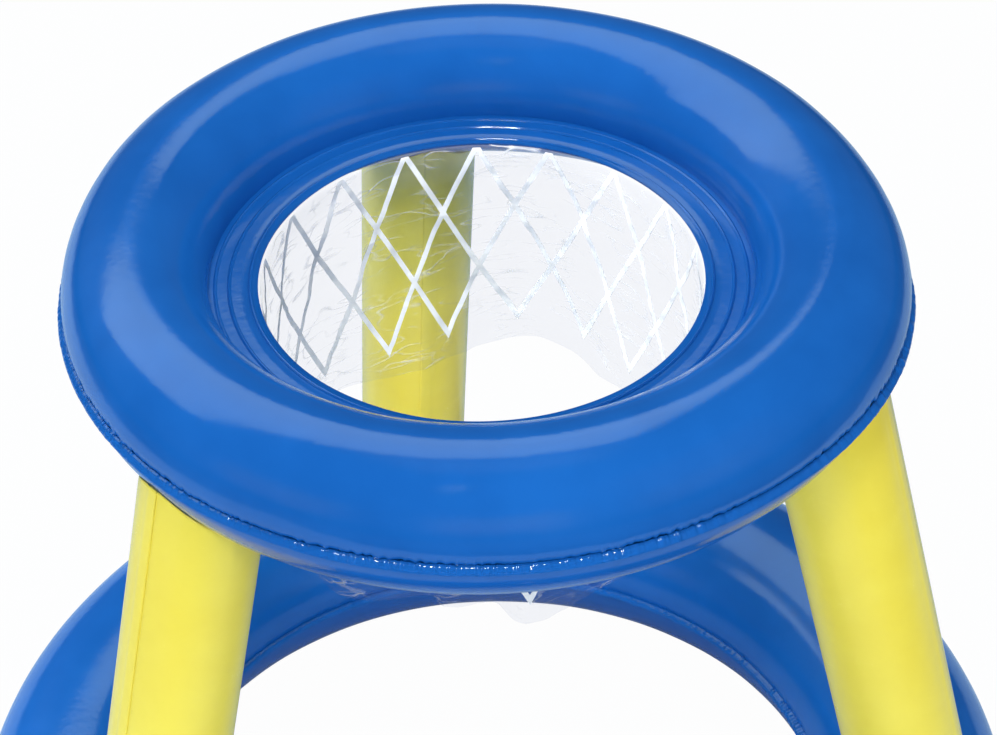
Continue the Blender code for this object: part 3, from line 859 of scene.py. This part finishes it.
def base_sheet(word, side):
    bm = turned(tube_section(BASE, side, BASE_FIN, base_turns), cuts=19, seam_cuts=2)
    for weld, waves in BASE_WAVES.items():
        pucker(bm, weld, BASE, side, BASE_FIN, waves)
    for vert in bm.verts:
        vert.co.z = max(vert.co.z, 0)
    face_out(bm, lambda spot: ring_core(BASE, spot))
    if side > 0:
        up = Vector((0, 0, 1))
        along = spot_at(BASE_VALVE_TURN, 1, 0).cross(up)
        stand = valve_stand(spot_at(BASE_VALVE_TURN, *BASE_VALVE_PLACE), up, along)
        press_and_punch(bm, stand, flat=0.008, edge=0.018)
    return finished(f"base_{word}_skin", bm, blue_vinyl, f"base_{word}_sheet", SHEET)


base_upper_skin = base_sheet("upper", 1)
base_sheet("lower", -1)
soft_lamp("base_lamp", (180, 48, 2.6), (0.8, 0.8), 29, pieces=[base_upper_skin])


# Legs. Each is a tube of two yellow vinyl panels, whose long edges lap over each other, closed at
# both ends by a saddle-shaped disc that is welded to the ring. They lean outwards.

LEG_TURNS = (90, 210, 330)  # degrees round the rings
LEG_RADIUS = 0.0323
LEG_DISC_RADIUS = 0.0317
LEG_FOOT = (0.2581, 0.105404)  # radius and height where the leg's middle meets its ring
LEG_HEAD = (0.1848, 0.4116)
LEG_ROWS = 90
LEG_COLUMNS = 88
LEG_DISC_COLUMNS = 48
END_CROWDING = 0.55  # share by which the rows crowd towards a leg's ends
END_FOLD = 0.0009  # shallow folds that run up from a leg's ends
END_FOLD_LENGTH = 0.012
END_FOLD_START = 0.003
LAP_WIDTH = 0.006
LAP_RISE = SHEET + 0.0001
LAP_SHOULDER = 0.0022  # the upper panel comes up this far beside the lap
LAP_SLOPE = 0.0014
LEG_GAP = 0.0003  # between the end of a leg and the ring
LEG_SEARCH = 0.05  # a leg's wall ends within this of its middle's end
LEG_HALVINGS = 30
LEG_DISC = 0.0006
LEG_VALVE_SIDES = (1, -1, 1)
LEG_VALVE_TURN = math.radians(142.5)
LEG_VALVE_RISE = 0.050
LEG_VALVE_OFFSET = 0.031528

YELLOWS = ((0.87, 0.73, 0.070), (0.91, 0.785, 0.092))
yellow_vinyl = vinyl("yellow_vinyl", *YELLOWS, roughness=0.22, relief=0.00028)


def leg_stand(number):
    """A leg's own frame, Z up along its middle and X outwards, and its length."""
    turn = math.radians(LEG_TURNS[number - 1])
    foot = spot_at(turn, *LEG_FOOT)
    head = spot_at(turn, *LEG_HEAD)
    up = (head - foot).normalized()
    across = up.cross(spot_at(turn, 1, 0)).normalized()
    stand = Matrix((across.cross(up), across, up)).transposed().to_4x4()
    stand.translation = foot
    return stand, (head - foot).length


def meet(stand, radius, turn, tube, outside, inside):
    """Height along a leg at which its wall meets a ring's tube."""
    for _ in range(LEG_HALVINGS):
        middle = (outside + inside) / 2
        spot = stand @ spot_at(turn, radius, middle)
        across = (spot.xy.length - tube.middle) / (tube.half_width + LEG_GAP)
        over = (spot.z - tube.height) / (tube.half_height + LEG_GAP)
        if across * across + over * over > 1:
            outside = middle
        else:
            inside = middle
    return (outside + inside) / 2


def leg_ends(stand, length, radius, turn):
    """Heights at which a leg's wall starts on the base ring and ends at the rim."""
    low = meet(stand, radius, turn, BASE, LEG_SEARCH, -LEG_SEARCH)
    high = meet(stand, radius, turn, RIM, length - LEG_SEARCH, length + LEG_SEARCH)
    return low, high


def leg_panel(number, word):
    """One panel, spun over half of the tube and then fitted between the rings."""
    stand, length = leg_stand(number)
    half_lap = LAP_WIDTH / 2 / LEG_RADIUS
    first = -half_lap if word == "under" else math.pi - half_lap
    span = math.pi + 2 * half_lap
    bm = bmesh.new()
    line = []
    for k in range(LEG_ROWS + 1):
        crowded = 0.5 - 0.5 * math.cos(math.pi * k / LEG_ROWS)
        row = END_CROWDING * crowded + (1 - END_CROWDING) * k / LEG_ROWS
        line.append(bm.verts.new(spot_at(first, LEG_RADIUS, row)))
    spun(bm, line, span, LEG_COLUMNS)
    ends = {}
    for vert in bm.verts:
        turn = first + (math.atan2(vert.co.y, vert.co.x) - first + 0.5) % (2 * math.pi) - 0.5
        key = round(turn, 5)
        if key not in ends:
            ends[key] = leg_ends(stand, length, LEG_RADIUS, turn)
        low, high = ends[key]
        from_lap = min(turn - first, first + span - turn) * LEG_RADIUS
        rise = low + (high - low) * vert.co.z
        from_end = min(rise - low, high - rise)
        fold = END_FOLD * max(0, noise.noise((turn * 5.2, rise * 14, number * 9 + 4)))
        fold *= math.exp(-from_end / END_FOLD_LENGTH) * min(1, from_end / END_FOLD_START)
        on_lap = smooth((LAP_WIDTH + LAP_SHOULDER - from_lap) / LAP_SLOPE) if word == "over" else 0
        vert.co = spot_at(turn, LEG_RADIUS + LAP_RISE * on_lap + fold, rise)
    face_out(bm, lambda spot: Vector((0, 0, spot.z)))
    side = LEG_VALVE_SIDES[number - 1]
    if (side > 0) == (word == "under"):
        turn = side * LEG_VALVE_TURN
        place = spot_at(turn, LEG_VALVE_OFFSET, LEG_VALVE_RISE)
        valve = valve_stand(place, spot_at(turn, 1, 0), Vector((0, 0, 1)))
        press_and_punch(bm, valve, flat=0.007, edge=0.014)
    bmesh.ops.transform(bm, matrix=stand, verts=bm.verts)
    name = f"leg_{number}_{word}_skin"
    return finished(name, bm, yellow_vinyl, f"leg_{number}_{word}_panel", SHEET)


def leg_disc(number, end):
    """The saddle-shaped disc that closes one end of a leg and lies on the ring."""
    stand, length = leg_stand(number)
    bm = bmesh.new()
    line = [bm.verts.new((LEG_DISC_RADIUS * share, 0, 0)) for share in (0, 0.25, 0.5, 0.75, 0.92, 1)]
    spun(bm, line, 2 * math.pi, LEG_DISC_COLUMNS)
    bmesh.ops.remove_doubles(bm, verts=bm.verts, dist=1e-6)
    for vert in bm.verts:
        turn = math.atan2(vert.co.y, vert.co.x)
        low, high = leg_ends(stand, length, vert.co.xy.length, turn)
        vert.co.z = low if end == "foot" else high
    core = Vector((0, 0, length if end == "foot" else 0))
    face_out(bm, lambda spot: core)
    bmesh.ops.transform(bm, matrix=stand, verts=bm.verts)
    name = f"leg_{number}_{end}_patch"
    return finished(name, bm, yellow_vinyl, f"leg_{number}_{end}_disc", LEG_DISC)


leg_skins = {}
for number in (1, 2, 3):
    leg_skins[number] = [leg_panel(number, word) for word in ("under", "over")]
    for end in ("head", "foot"):
        leg_disc(number, end)

# The back leg has a lamp of its own, low in front.
BACK_LEG_TINT = (1.0, 0.88, 0.82)
soft_lamp(
    "back_leg_lamp", (-98, LOW_RISE, LOW_DISTANCE), LOW_SIZE, 37, tint=BACK_LEG_TINT, pieces=leg_skins[1]
)


# Inflation valves, five alike. Each is moulded in milky soft vinyl: a boot welded inside the sheet,
# a stem that slides in it, a stopper on a strap, and a thin flap that holds the air back.


def milky_vinyl():
    finish = Finish(bpy.data.materials.new("milky_vinyl"))
    place = finish.place()
    clouds = finish.clouds(place, 320.0)
    grain = finish.clouds(place, 2600.0)
    shader = finish.node(
        "ShaderNodeBsdfPrincipled",
        None,
        {
            "Base Color": finish.blend(clouds, (0.74, 0.79, 0.84, 1.0), (0.84, 0.87, 0.90, 1.0)),
            "Roughness": 0.3 + 0.12 * grain,
            "Normal": finish.bump(grain, 0.00003),
        },
    )
    return finish.show(shader)


milky = milky_vinyl()
for holder in ("rim", "base", "leg_1", "leg_2", "leg_3"):
    for word in ("boot", "stem", "plug", "flap"):
        node = bpy.data.objects[f"{holder}_valve_{word}"]
        for slot in node.material_slots:
            slot.material = milky
